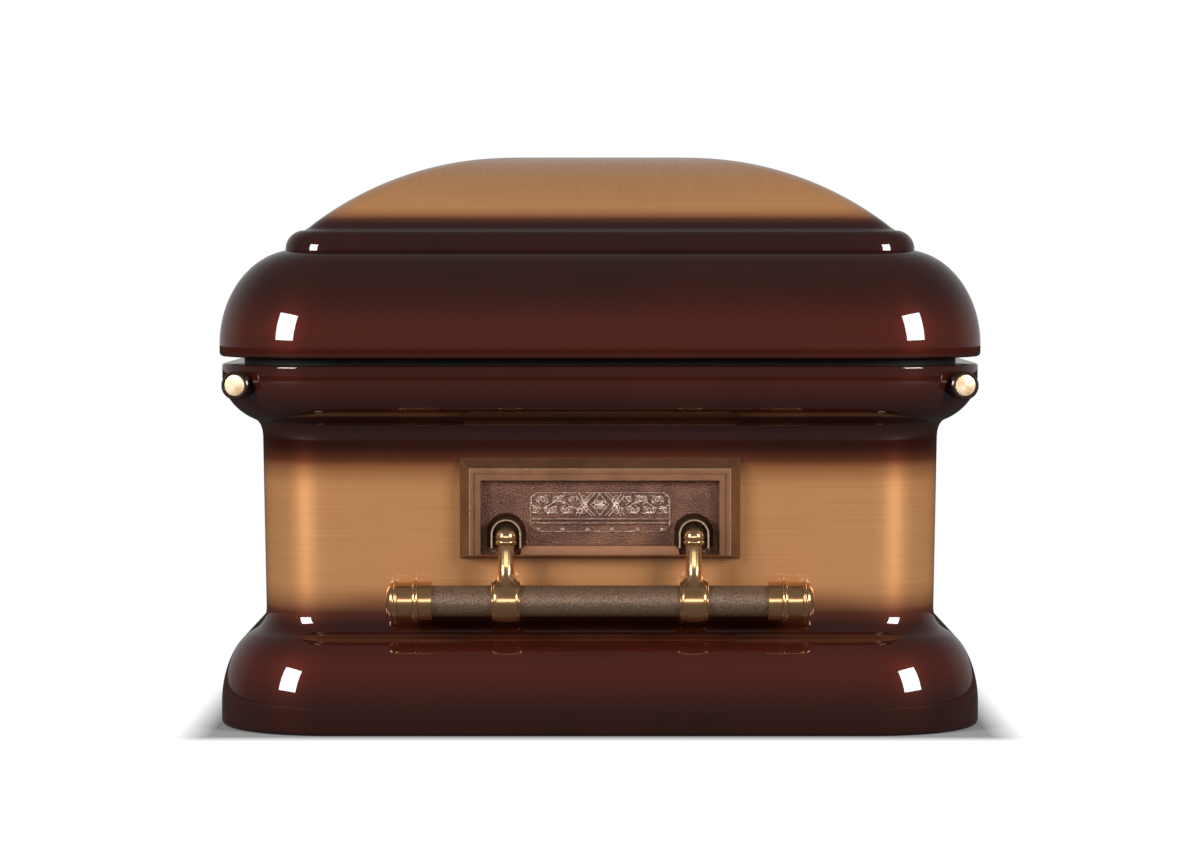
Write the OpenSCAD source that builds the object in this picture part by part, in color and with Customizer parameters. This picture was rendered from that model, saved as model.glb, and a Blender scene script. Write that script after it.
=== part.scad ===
// Metal casket: round-cornered sheet-metal body, lift-off lid on a gasket, and four swing-bar handles.
// Millimetres. X is the width, Y the length, Z is up. The front end faces -Y.
// Origin: centre of the footprint, on the underside.

/* [Overall] */
// Width over the widest moulding
casket_width = 737; // [600:1:900]
// Length over the widest moulding
casket_length = 2134; // [1500:1:2400]
// Thickness of the sheet metal
sheet_t = 1.6; // [1.2:0.1:2.4]
// Plan radius of the outermost corner
corner_r = 111; // [100:1:125]

/* [Body] */
// Height of the base moulding where it meets the wall
base_h = 107; // [90:1:130]
// Height of the wall between base moulding and rim
wall_h = 173; // [165:1:210]
// Height of the rim moulding on top of the wall
rim_h = 70; // [65:1:85]
// How far the rim stands back from the outermost line
rim_inset = 2.6; // [1:0.1:5]
// How far the wall stands back at its top
wall_inset = 41.7; // [39:0.1:44]
// How far the wall leans in further down to its foot
wall_lean = 2.8; // [0:0.1:4]
// Width of the flat flange on top of the rim
flange_w = 41.4; // [38:0.1:46]

/* [Lid] */
// Height of the lid's big rim moulding
lid_rim_h = 103; // [90:1:120]
// Height of the whole lid
lid_h = 196; // [185:1:220]
// Radius of the crown's side arcs
crown_r = 305; // [290:1:330]
// Plan radius that the crown's hips never go below
hip_r = 20; // [10:1:30]
// Height of the gasket between body and lid
gasket_h = 7; // [4:0.5:10]
// Width of the gasket
gasket_w = 12; // [6:0.5:14]
// How far the gasket's outer edge stands back
gasket_inset = 24; // [20:0.5:26]

/* [Handles] */
// Height of the hinge line above the base moulding
hinge_rise = 81; // [76:1:90]
// Width of the handle plate
plate_w = 267.5; // [250:0.5:300]
// Height of the handle plate
plate_h = 95.8; // [90:0.1:100]
// Thickness of the plate's bevelled frame
plate_t = 16; // [13:0.5:18]
// Thickness of the sunk panel inside the frame
panel_t = 8; // [5:0.5:9]
// Distance between the two arms
arm_spacing = 178; // [150:1:190]
// Distance from hinge line to bar centre
arm_len = 60.3; // [58:0.1:66]
// Diameter of the ball at the arm's top
ball_d = 20.6; // [19:0.1:22]
// Diameter of the hinge pin
pin_d = 4; // [3:0.1:5]
// Diameter of the bar's grip
grip_d = 29.8; // [26:0.1:32]
// Length over the bar's end caps
bar_len = 406; // [340:1:460]
// Length of one end cap
cap_len = 44; // [36:1:48]
// Angle of the hanging arm, measured out from the wall
hang_angle = 6; // [2:1:10]

/* [Corner studs] */
// Outer diameter of a corner stud
stud_d = 27; // [24:0.5:29]
// Diameter of its spun disc
disc_d = 20.8; // [18:0.1:22]
// How far the stud's centre lies below the body's top flange
stud_drop = 19; // [17:1:20]
// Sideways distance from the outermost line to the centre of the disc
stud_inset = 22; // [20:0.5:24]
// How far the disc lies behind the end's outermost line
stud_setback = 25; // [22:0.5:28]
// Sideways splay of the stud's axis
stud_splay = 15; // [10:1:20]

/* [Hidden] */
$fn = 64;
// Radial running clearance of the hinge pin
pin_gap = 0.05;
// Radial clearance of sleeves and caps on the bar
bar_gap = 0.05;
// Clearance of a stud to the curved corner that it stands on
stud_gap = 0.2;
// Clearance of the disc in its seat
disc_gap = 0.1;
// Clearance of a handle plate to the wall that it stands on
plate_gap = 0.05;

half_w = casket_width / 2;
half_l = casket_length / 2;
halves = [half_l, half_w, half_l, half_w];
wall_top_z = base_h + wall_h;
body_h = wall_top_z + rim_h;
hinge_z = base_h + hinge_rise;
stud_z = body_h - stud_drop;

stations = ["front", "right", "back", "left"];
hands = ["left", "right"];
hand_signs = [-1, 1];

// ---- outline helpers ----

// Points of an elliptical arc around c, with semi-axes r, from angle a0 to a1
function arc(c, r, a0, a1, n) =
    [for (i = [0 : n]) let (a = a0 + (a1 - a0) * i / n) c + [r[0] * cos(a), r[1] * sin(a)]];

function unit(v) = v / norm(v);
function right_of(v) = [v[1], -v[0]];

// One point of a path, moved t to the right of the path, mitred at its corners
function beside(path, i, t) =
    let (
        back = max(i, 1),
        on = min(i, len(path) - 2),
        before = right_of(unit(path[back] - path[back - 1])),
        after = right_of(unit(path[on + 1] - path[on])),
        middle = before + after
    )
    path[i] + 2 * t * middle / (middle * middle);

// The sheet's inner face, from the last point of the path back to the first
function inner_face(path, t) = [for (i = [len(path) - 1 : -1 : 0]) beside(path, i, t)];

// ---- mouldings, as [inset from the outermost line, height] ----

floor_edge = 60;
base_inset = 0.7;
cove_r = 9;
wall_foot_inset = wall_inset + wall_lean;
rim_in = rim_inset + flange_w;

// Base moulding, wall, cove and ovolo rim, from the floor's edge up to the top flange
base_outline = concat(
    [[floor_edge, 0]],
    arc([base_inset + 5, 5], [5, 5], 270, 180, 3),
    arc([base_inset + 44, base_h - 87], [44, base_h - 33], 180, 104, 7),
    [[wall_foot_inset - 9.5, base_h - 10]],
    arc([wall_foot_inset - cove_r, base_h], [cove_r, cove_r], -60, 0, 3)
);
rim_outline = concat(
    arc([wall_inset - cove_r, wall_top_z], [cove_r, cove_r], 0, 60, 3),
    [[wall_inset - 4.8, wall_top_z + 8]],
    arc([rim_inset + 58, body_h - 12], [58, rim_h - 22.5], 245.5, 180, 7),
    arc([rim_inset + 2, body_h - 2], [2, 2], 180, 90, 2),
    [[rim_in, body_h]]
);
body_outline = concat(base_outline, rim_outline);

lid_z = body_h + gasket_h;
lid_top = lid_z + lid_h;
bead_inset = 64;
bead_r = 18.5;
bead_z = lid_z + lid_rim_h;
crown_inset = bead_inset + bead_r + 5;
crown_flat = crown_inset + 196;
crown_a = asin((crown_flat - crown_inset) / crown_r);

// Turned-in flange, big rim, bead and crown, from the flange's inner edge up to the flat top
lid_outline = concat(
    [[rim_in, lid_z]],
    arc([4, lid_z + 4], [4, 4], 270, 180, 3),
    arc([75, lid_z + 11], [75, lid_rim_h - 11], 180, 98.5, 9),
    arc([bead_inset + bead_r, bead_z], [bead_r, bead_r], 172, 90, 4),
    arc([crown_flat, lid_top - crown_r], [crown_r, crown_r], 90 + crown_a, 90, 7)
);

// ---- rounded rectangles ----

// Solid plate with rounded corners, set in from the outermost line
module plan_slab(inset, z, h) {
    r = corner_r - inset;
    translate([0, 0, z]) {
        translate([-half_w + inset, -half_l + corner_r, 0])
            cube([casket_width - 2 * inset, casket_length - 2 * corner_r, h]);
        translate([-half_w + corner_r, -half_l + inset, 0])
            cube([casket_width - 2 * corner_r, casket_length - 2 * inset, h]);
        for (sx = hand_signs, sy = hand_signs)
            translate([sx * (half_w - corner_r), sy * (half_l - corner_r), 0])
                cylinder(r = r, h = h);
    }
}

// One level of the lid: a ring of points round the rounded rectangle at this inset and height
function ring(inset, z) =
    let (
        r = max(corner_r - inset, hip_r),
        x = half_w - inset - r,
        y = half_l - inset - r
    )
    [for (q = [0 : 3], i = [0 : ring_steps])
        let (a = 90 * (q + i / ring_steps), sx = (q == 0 || q == 3) ? 1 : -1, sy = q < 2 ? 1 : -1)
        [sx * x + r * cos(a), sy * y + r * sin(a), z]];

ring_steps = 6;

// Closed shell from a stack of rings, capped across the first and the last
module ring_shell(levels) {
    n = 4 * (ring_steps + 1);
    last = len(levels) - 1;
    points = [for (level = levels) each ring(level[0], level[1])];
    first_cap = [for (i = [0 : n - 1]) i];
    last_cap = [for (i = [n - 1 : -1 : 0]) last * n + i];
    sides = [for (k = [0 : last - 1], i = [0 : n - 1])
        [k * n + i, (k + 1) * n + i, (k + 1) * n + (i + 1) % n, k * n + (i + 1) % n]];
    polyhedron(points = points, faces = concat([first_cap], sides, [last_cap]));
}

// Section of the sheet in the plane of width and height, outer face at x = distance
module sheet_section(outline, distance) {
    translate([distance, 0])
        mirror([1, 0])
            polygon(concat(outline, inner_face(outline, sheet_t)));
}

// The sheet run along four straight sides and round four corners
module sheet_wall(outline) {
    for (k = [0 : 3])
        rotate([0, 0, 90 * k])
            rotate([90, 0, 0])
                linear_extrude(height = 2 * (halves[k] - corner_r), center = true)
                    sheet_section(outline, halves[(k + 1) % 4]);
    for (k = [0 : 3])
        rotate([0, 0, 90 * k])
            translate([halves[(k + 1) % 4] - corner_r, halves[k] - corner_r, 0])
                rotate_extrude(angle = 90)
                    sheet_section(outline, corner_r);
}

// ---- body, lid, gasket ----

module casket_body() {
    color("#8a5230") {
        sheet_wall(body_outline);
        plan_slab(floor_edge - 1, 0, sheet_t);
    }
}

module lid() {
    color("#a8683f")
        ring_shell(concat(inner_face(lid_outline, sheet_t), lid_outline));
}

module lid_gasket() {
    color("#141110")
        difference() {
            plan_slab(gasket_inset, body_h, gasket_h);
            plan_slab(gasket_inset + gasket_w, body_h - 1, gasket_h + 2);
        }
}

// ---- corner studs ----

stud_len = 46;
disc_t = 2;
disc_seat = 2.6;

// Places a stud that points along -Y at one corner, with its front face at the origin
module at_corner(end_sign, hand_sign) {
    translate([hand_sign * (half_w - stud_inset), end_sign * (half_l - stud_setback), stud_z])
        rotate([0, 0, end_sign < 0 ? hand_sign * stud_splay : 180 - hand_sign * stud_splay])
            children();
}

// Everything inside the rim's outer face at one corner
module corner_block(end_sign, hand_sign) {
    rim = [for (p = rim_outline) [corner_r - p[0] + stud_gap, p[1]]];
    block = concat([[0, rim[0][1]]], rim, [[0, body_h]]);
    translate([hand_sign * (half_w - corner_r), end_sign * (half_l - corner_r), 0])
        rotate_extrude()
            polygon(block);
}

module corner_stud(end_sign, hand_sign) {
    color("#2a1712")
        difference() {
            at_corner(end_sign, hand_sign)
                rotate([90, 0, 0])
                    rotate_extrude()
                        polygon([
                            [0, -disc_seat],
                            [disc_d / 2 + disc_gap, -disc_seat],
                            [disc_d / 2 + disc_gap, -0.4],
                            [disc_d / 2 + 0.6, 0],
                            [stud_d / 2 - 1.2, 0],
                            [stud_d / 2, -1.4],
                            [stud_d / 2, -stud_len],
                            [0, -stud_len]
                        ]);
            corner_block(end_sign, hand_sign);
        }
}

module stud_disc(end_sign, hand_sign) {
    color("#f3d6aa")
        at_corner(end_sign, hand_sign)
            rotate([90, 0, 0])
                rotate_extrude()
                    polygon([
                        [0, -disc_seat],
                        [disc_d / 2, -disc_seat],
                        [disc_d / 2, -disc_seat + disc_t - 0.6],
                        [disc_d / 2 - 0.6, -disc_seat + disc_t],
                        [disc_d / 4, -disc_seat + disc_t + 0.3],
                        [0, -disc_seat + disc_t + 0.4]
                    ]);
}

// ---- handles: drawn facing -Y, origin on the wall at the hinge line ----

lean_angle = atan(wall_lean / (wall_top_z - base_h));
hinge_inset = wall_inset + (wall_top_z - hinge_z) * tan(lean_angle);
plate_drop = 22.2;
plate_low = -plate_drop;
plate_edge = 2;
bevel_side = 10;
bevel_top = 9.5;
bevel_low = 4;
frame_side = 20.75;
frame_top = 20.9;
frame_low = 5;
opening_w = plate_w - 2 * frame_side;
opening_h = plate_h - frame_top - frame_low;
groove = 1;
ball_r = ball_d / 2;
hood_r = ball_r + 2.4;
hood_rise = 3;
hood_leg = 13;
hood_foot_r = hood_r + 5.9;
hood_lip = 2;
hinge_out = plate_t + ball_r - 0.3;
hood_out = hinge_out + 4;
pin_len = 2 * (hood_r + 2.3);
arm_low_r = 13.2;
neck_r = 7.6;
sleeve_w = 27;
sleeve_r = grip_d / 2 + 5.4;
flange_r = grip_d / 2 + 3.3;
cap_r = grip_d / 2 + 3.5;
shaft_len = arm_len - sleeve_r + 4;

// Puts a handle on one of the four walls, leaning with the wall
module at_station(k) {
    rotate([0, 0, 90 * k])
        translate([0, -(halves[k] - hinge_inset), hinge_z])
            rotate([lean_angle, 0, 0])
                children();
}

// Carries what turns with the bar: origin on the hinge line, arm pointing down along -Z
module hanging() {
    translate([0, -hinge_out, 0])
        rotate([-hang_angle, 0, 0])
            children();
}

// An upright outline in the wall's plane, raised from depth low to depth high
module raised(low, high) {
    translate([0, -low, 0])
        rotate([90, 0, 0])
            linear_extrude(height = high - low)
                children();
}

module bevelled_block() {
    side = plate_w / 2;
    top = plate_low + plate_h;
    intersection() {
        translate([0, 0, plate_low])
            linear_extrude(height = plate_h)
                polygon([
                    [-side, -plate_gap],
                    [side, -plate_gap],
                    [side, -plate_edge],
                    [side - bevel_side, -plate_t],
                    [-side + bevel_side, -plate_t],
                    [-side, -plate_edge]
                ]);
        rotate([90, 0, 90])
            linear_extrude(height = plate_w, center = true)
                polygon([
                    [-plate_gap, plate_low],
                    [-plate_edge, plate_low],
                    [-plate_t, plate_low + bevel_low],
                    [-plate_t, top - bevel_top],
                    [-plate_edge, top],
                    [-plate_gap, top]
                ]);
    }
}

// Rectangle in the wall's plane, centred sideways, from height low to height high
module band(w, low, high) {
    translate([-w / 2, low])
        square([w, high - low]);
}

// Groove round the frame's face, at the sides and the top
module frame_groove() {
    mid = frame_side - 5;
    high = plate_low + plate_h - frame_top + 5.5;
    raised(plate_t - groove, plate_t + 1)
        difference() {
            band(plate_w - 2 * mid, plate_low - 1, high);
            band(plate_w - 2 * mid - 2 * groove, plate_low - 2, high - groove);
        }
}

// Arched hood with two cheeks, round the ball of one arm
module hood() {
    section = [
        [hood_r, panel_t],
        [hood_foot_r, panel_t],
        [hood_r + hood_lip, hood_out],
        [hood_r, hood_out]
    ];
    translate([0, 0, hood_rise])
        rotate([90, 0, 0])
            rotate_extrude(angle = 180)
                polygon(section);
    for (s = hand_signs)
        translate([0, 0, hood_rise - hood_leg])
            linear_extrude(height = hood_leg)
                scale([s, -1])
                    polygon(section);
}

plaque_w = 137;
plaque_low = 10.5;
plaque_high = 41.8;
plaque_corner = 9;
plaque_t = 1.6;
bead_line_r = 1.3;
ledge_h = 9;

// Ornament field with round upper corners over two fine bars
module plaque() {
    raised(panel_t, panel_t + plaque_t) {
        band(plaque_w, plaque_low, plaque_high - plaque_corner);
        band(plaque_w - 2 * plaque_corner, plaque_low, plaque_high);
        for (s = hand_signs)
            translate([s * (plaque_w / 2 - plaque_corner), plaque_high - plaque_corner])
                circle(r = plaque_corner);
    }
    for (z = [12, 16])
        translate([0, -panel_t - plaque_t, z])
            rotate([0, 90, 0])
                cylinder(r = bead_line_r, h = plaque_w - 1, center = true);
}

// Smooth ledge along the foot of the panel, between the arms
module ledge() {
    low = plate_low + frame_low - 0.5;
    reach_low = arm_spacing / 2 - 13;
    reach_high = arm_spacing / 2 - 15;
    raised(panel_t, plate_t)
        polygon([
            [-reach_low, low],
            [reach_low, low],
            [reach_high, low + ledge_h],
            [-reach_high, low + ledge_h]
        ]);
}

module handle_plate() {
    color("#6e4b37")
        difference() {
            union() {
                difference() {
                    bevelled_block();
                    raised(panel_t, plate_t + 1)
                        band(opening_w, plate_low + frame_low, plate_low + frame_low + opening_h);
                    frame_groove();
                }
                plaque();
                ledge();
                for (s = hand_signs)
                    translate([s * arm_spacing / 2, 0, 0])
                        hood();
            }
            for (s = hand_signs)
                translate([s * arm_spacing / 2, -hinge_out, 0])
                    rotate([0, 90, 0])
                        cylinder(d = pin_d + 2 * pin_gap, h = 2 * hood_foot_r, center = true);
        }
}

module handle_pin(s) {
    color("#4b3a2c")
        translate([s * arm_spacing / 2, -hinge_out, 0])
            rotate([0, 90, 0])
                cylinder(d = pin_d, h = pin_len, center = true);
}

// Radius of the arm's flaring shaft at a distance below the hinge
function shaft_r(d) = neck_r + (arm_low_r - neck_r) * pow(max(2 * d / shaft_len - 1, 0), 1.5);

// Ball, collar and flaring shaft as one turned shape
module arm_shaft() {
    outline = concat(
        arc([0, 0], [ball_r, ball_r], 90, -8, 8),
        arc([ball_r - 2, -5], [2.5, 2.4], 55, -60, 4),
        [[neck_r + 0.6, -8], [neck_r + 0.2, -14]],
        [for (i = [0 : 6]) let (d = 20 + i * (shaft_len - 20) / 6) [shaft_r(d), -d]],
        [[0, -shaft_len]]
    );
    rotate_extrude()
        polygon(outline);
}

// Sleeve that grips the bar, with thin end flanges and a swelling middle
module arm_sleeve() {
    swell = arc([0, 0], [sleeve_r, sleeve_w / 2 - 1.2], 25, -25, 6);
    outline = concat(
        [[0, sleeve_w / 2], [flange_r, sleeve_w / 2], [flange_r, sleeve_w / 2 - 1.4]],
        [for (p = swell) [p[0], p[1] * 2.2]],
        [[flange_r, -sleeve_w / 2 + 1.4], [flange_r, -sleeve_w / 2], [0, -sleeve_w / 2]]
    );
    rotate([0, 90, 0])
        rotate_extrude()
            polygon(outline);
}

module handle_arm(s) {
    color("#c79a5e")
        translate([s * arm_spacing / 2, 0, 0])
            hanging()
                difference() {
                    union() {
                        arm_shaft();
                        translate([0, 0, -arm_len])
                            arm_sleeve();
                    }
                    rotate([0, 90, 0])
                        cylinder(d = pin_d + 2 * pin_gap, h = 3 * ball_r, center = true);
                    translate([0, 0, -arm_len])
                        rotate([0, 90, 0])
                            cylinder(d = grip_d + 2 * bar_gap, h = 2 * sleeve_w, center = true);
                }
}

cap_wall = 6;

module handle_bar() {
    color("#665041")
        hanging()
            translate([0, 0, -arm_len])
                rotate([0, 90, 0])
                    cylinder(d = grip_d, h = bar_len - 2 * cap_wall - 2, center = true);
}

// End cap: two plain bands, a bead between them, a fine ring and a domed end
module handle_cap(s) {
    dome = 8;
    bore_r = grip_d / 2 + bar_gap;
    outline = concat(
        [[bore_r, 0], [cap_r - 0.5, 0], [cap_r, 0.5], [cap_r, 12.4]],
        arc([cap_r, 15.6], [1.3, 2.8], -70, 70, 4),
        [[cap_r - 0.4, 18.8], [cap_r - 0.4, cap_len - 11.4]],
        arc([cap_r - 0.4, cap_len - 9.7], [0.9, 1.5], -80, 80, 4),
        arc([7, cap_len - dome], [cap_r - 7.4, dome], 0, 90, 5),
        [[0, cap_len], [0, cap_len - cap_wall], [bore_r, cap_len - cap_wall]]
    );
    color("#cf9f62")
        hanging()
            translate([s * (bar_len / 2 - cap_len), 0, -arm_len])
                rotate([0, s * 90, 0])
                    rotate_extrude()
                        polygon(outline);
}

// ---- placing ----

casket_body();
lid();
lid_gasket();

for (e = [0, 1], h = [0, 1]) {
    corner = str(["front", "back"][e], "_", hands[h]);
    corner_stud(2 * e - 1, hand_signs[h]);
    stud_disc(2 * e - 1, hand_signs[h]);
}

for (k = [0 : 3]) {
    name = str(stations[k], "_handle_");
    at_station(k) handle_plate();
    at_station(k) handle_bar();
    for (h = [0, 1]) {
        side = str("_", hands[h]);
        at_station(k) handle_arm(hand_signs[h]);
        at_station(k) handle_pin(hand_signs[h]);
        at_station(k) handle_cap(hand_signs[h]);
    }
}
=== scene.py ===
"""Looks of the metal casket: smooth shells, lacquer, handle castings, camera and studio, in metres."""
import math

import bmesh
import bpy
import numpy as np
from mathutils import Matrix, Vector


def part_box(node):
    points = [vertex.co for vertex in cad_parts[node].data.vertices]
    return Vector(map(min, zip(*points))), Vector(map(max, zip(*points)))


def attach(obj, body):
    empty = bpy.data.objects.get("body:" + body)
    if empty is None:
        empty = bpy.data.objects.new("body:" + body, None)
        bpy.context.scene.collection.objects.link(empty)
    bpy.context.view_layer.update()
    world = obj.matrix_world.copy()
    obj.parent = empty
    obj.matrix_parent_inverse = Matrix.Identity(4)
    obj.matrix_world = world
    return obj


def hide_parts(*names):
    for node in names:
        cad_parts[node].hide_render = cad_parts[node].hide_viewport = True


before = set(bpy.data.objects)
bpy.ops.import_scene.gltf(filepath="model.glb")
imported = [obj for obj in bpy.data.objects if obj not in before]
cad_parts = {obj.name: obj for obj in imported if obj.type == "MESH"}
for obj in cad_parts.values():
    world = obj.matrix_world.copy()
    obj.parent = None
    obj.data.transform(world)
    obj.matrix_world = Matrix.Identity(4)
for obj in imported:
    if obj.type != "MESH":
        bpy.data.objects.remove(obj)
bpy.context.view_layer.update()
MM = 0.001

# ---------------------------------------------------------------- sizes in millimetres, as constructed

lid_low, lid_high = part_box("lid")
HALF_W = lid_high[0] / MM
HALF_L = lid_high[1] / MM
LID_Z = lid_low[2] / MM
LID_TOP = lid_high[2] / MM
BODY_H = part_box("casket_body")[1][2] / MM
CORNER_R = 111
HIP_R = 20
SHEET_T = 1.6
FLOOR_EDGE = 60
BASE_INSET = 0.7
BASE_H = 107
BASE_EDGE_R = 5
BASE_CURVE = (44, 74)
BASE_CURVE_Z = 20
BASE_PULL_RISE = 7.3
RIM_INSET = 2.6
RIM_IN = 44
RIM_CURVE = (58, 47.5)
RIM_CURVE_DROP = 12
RIM_EDGE_R = 2
WALL_INSET = 41.7
WALL_LEAN = 2.8
WALL_TOP = BODY_H - 70
WALL_H = WALL_TOP - BASE_H
FOOT_BEND, HEAD_BEND = 7, 3
HEAD_PULL_RISE = 11
LID_RIM_H = 103
LID_EDGE_R = 4
LID_CURVE_RUN = 75
LID_CURVE_RISE = 11
BEAD_INSET = 64
BEAD_R = 18.5
BEAD_GAP = 5
CROWN_R = 305
CROWN_RUN = 196

HINGE_Z = 188
HANG_ANGLE = 6
ARM_SPACING = 178
ARM_LEN = 60.3
PLATE_W, PLATE_H, PLATE_T = 267.5, 95.8, 16
PLATE_LOW = -22.2
PANEL_T = 8
BALL_R = 10.3
HINGE_OUT = PLATE_T + BALL_R - 0.3
GRIP_R = 14.9
BAR_LEN = 406
BAR_SHORT = 9
CAP_LEN = 44
CAP_R = 18.4
NECK_R = 7.5
FOOT_R = 12.6
FOOT_LONGER = 3.2
FLARE_FROM = 25
SLEEVE_W = 27
SLEEVE_R = 18.0
SLEEVE_SWELL = 2.3
HOOD_R = 12.7
HOOD_FOOT_R = 18.6
HOOD_RISE = 3
CHEEK_LEN = 13.0
STATIONS = ["front", "right", "back", "left"]
HANDS = {"left": -1, "right": 1}


# ---------------------------------------------------------------- small geometry helpers

def arc(centre, radii, a0, a1, n):
    """Points of an elliptical arc, angles in degrees."""
    angles = np.radians(np.linspace(a0, a1, n + 1))
    return [(centre[0] + radii[0] * math.cos(a), centre[1] + radii[1] * math.sin(a)) for a in angles]


def line(start, end, n):
    """n + 1 points from start to end."""
    return [tuple(p) for p in np.linspace(start, end, n + 1)]


def smooth(low, high, x):
    """0 below low, 1 above high, eased between."""
    t = np.clip((x - low) / (high - low), 0, 1)
    return t * t * (3 - 2 * t)


def bezier(start, pull, end, n):
    """n points after start on a quadratic curve."""
    ts = np.linspace(0, 1, n + 1)[1:]
    return [tuple((1 - t) ** 2 * np.array(start) + 2 * t * (1 - t) * np.array(pull) + t * t * np.array(end))
            for t in ts]


def beside(path, t):
    """The path moved t to its right, mitred at its corners."""
    p = np.array(path)
    steps = np.diff(p, axis=0)
    steps /= np.linalg.norm(steps, axis=1)[:, None]
    rights = np.stack([steps[:, 1], -steps[:, 0]], 1)
    before = np.vstack([rights[:1], rights])
    after = np.vstack([rights, rights[-1:]])
    middle = before + after
    return [tuple(q) for q in p + 2 * t * middle / (middle ** 2).sum(1)[:, None]]


def new_object(name, verts, faces, materials, body):
    """A mesh object in metres that rides on a body."""
    mesh = bpy.data.meshes.new(name)
    mesh.from_pydata([tuple(v) for v in verts], [], faces)
    for material in materials:
        mesh.materials.append(material)
    mesh.update()
    obj = bpy.data.objects.new(name, mesh)
    bpy.context.scene.collection.objects.link(obj)
    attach(obj, body)
    return obj


def close_up(obj, sharp, weld=None):
    """Welds a closed mesh where asked, turns its faces outwards and shades it smooth below the angle."""
    bm = bmesh.new()
    bm.from_mesh(obj.data)
    if weld:
        bmesh.ops.remove_doubles(bm, verts=bm.verts, dist=weld)
    bmesh.ops.recalc_face_normals(bm, faces=bm.faces)
    bm.to_mesh(obj.data)
    bm.free()
    obj.data.shade_smooth()
    obj.data.set_sharp_from_angle(angle=math.radians(sharp))


def point_attribute(obj, name, values):
    """Stores one number per vertex."""
    layer = obj.data.attributes.new(name, "FLOAT", "POINT")
    layer.data.foreach_set("value", np.asarray(values, dtype=np.float32))


# ---------------------------------------------------------------- shader helpers

def new_material(name):
    """A node material, with its tree and its Principled shader."""
    material = bpy.data.materials.new(name)
    material.use_nodes = True
    tree = material.node_tree
    return material, tree, tree.nodes["Principled BSDF"]


def add(tree, kind, **inputs):
    """A node with its inputs set by name."""
    node = tree.nodes.new(kind)
    for key, value in inputs.items():
        node.inputs[key.replace("_", " ")].default_value = value
    return node


def position(tree, scale):
    """Object-space position, stretched by scale."""
    coords = tree.nodes.new("ShaderNodeTexCoord")
    mapping = tree.nodes.new("ShaderNodeMapping")
    mapping.inputs["Scale"].default_value = scale
    tree.links.new(coords.outputs["Object"], mapping.inputs["Vector"])
    return mapping.outputs["Vector"]


def noise(tree, scale, detail=4.0, stretch=(1, 1, 1), rough=0.5):
    """A noise texture in object space."""
    node = add(tree, "ShaderNodeTexNoise", Scale=scale, Detail=detail, Roughness=rough)
    tree.links.new(position(tree, stretch), node.inputs["Vector"])
    return node.outputs["Fac"]


def remap(tree, value, low, high, to_low, to_high):
    """Clamped linear remap of a value."""
    node = add(tree, "ShaderNodeMapRange")
    node.inputs["From Min"].default_value = low
    node.inputs["From Max"].default_value = high
    node.inputs["To Min"].default_value = to_low
    node.inputs["To Max"].default_value = to_high
    tree.links.new(value, node.inputs["Value"])
    return node.outputs["Result"]


def mix_colour(tree, factor, a, b, blend="MIX"):
    """Mixes two colours, each a value or a socket."""
    node = tree.nodes.new("ShaderNodeMix")
    node.data_type = "RGBA"
    node.blend_type = blend
    for socket, value in ((node.inputs[0], factor), (node.inputs[6], a), (node.inputs[7], b)):
        if isinstance(value, bpy.types.NodeSocket):
            tree.links.new(value, socket)
        elif isinstance(value, tuple):
            socket.default_value = (*value, 1)
        else:
            socket.default_value = value
    return node.outputs[2]


def mix_value(tree, factor, a, b):
    """Mixes two numbers, each a value or a socket."""
    node = tree.nodes.new("ShaderNodeMix")
    for socket, value in ((node.inputs[0], factor), (node.inputs[2], a), (node.inputs[3], b)):
        if isinstance(value, bpy.types.NodeSocket):
            tree.links.new(value, socket)
        else:
            socket.default_value = value
    return node.outputs[0]


def math_node(tree, operation, a, b):
    """One arithmetic step on two numbers or sockets."""
    node = tree.nodes.new("ShaderNodeMath")
    node.operation = operation
    for socket, value in zip(node.inputs, (a, b)):
        if isinstance(value, bpy.types.NodeSocket):
            tree.links.new(value, socket)
        else:
            socket.default_value = value
    return node.outputs[0]


def attribute(tree, name):
    """A per-vertex number of the mesh."""
    node = tree.nodes.new("ShaderNodeAttribute")
    node.attribute_name = name
    return node.outputs["Fac"]


def bump(tree, height, strength, distance, shader):
    """Drives the shader's normal from a height."""
    node = add(tree, "ShaderNodeBump", Strength=strength, Distance=distance)
    tree.links.new(height, node.inputs["Height"])
    tree.links.new(node.outputs["Normal"], shader.inputs["Normal"])


# ---------------------------------------------------------------- materials

DARK = (0.030, 0.0060, 0.0034)
# red of the painted sheen on the dark lacquer, standing in for light caught by the mouldings
PAINTED_SHEEN_RED = (0.100, 0.0148, 0.0076)
GOLD = (0.75, 0.330, 0.117)
GOLD_PALE = (0.86, 0.420, 0.165)
GOLD_WARM = (0.68, 0.325, 0.135)
FADE_RED = (0.235, 0.070, 0.028)
METAL_SHARE = (0.20, 0.30)
BRUSH_ANISOTROPY, BRUSH_TURN = 0.55, 0.25
COAT_ROUGHNESS, COAT_IOR = 0.03, 1.75


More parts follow.
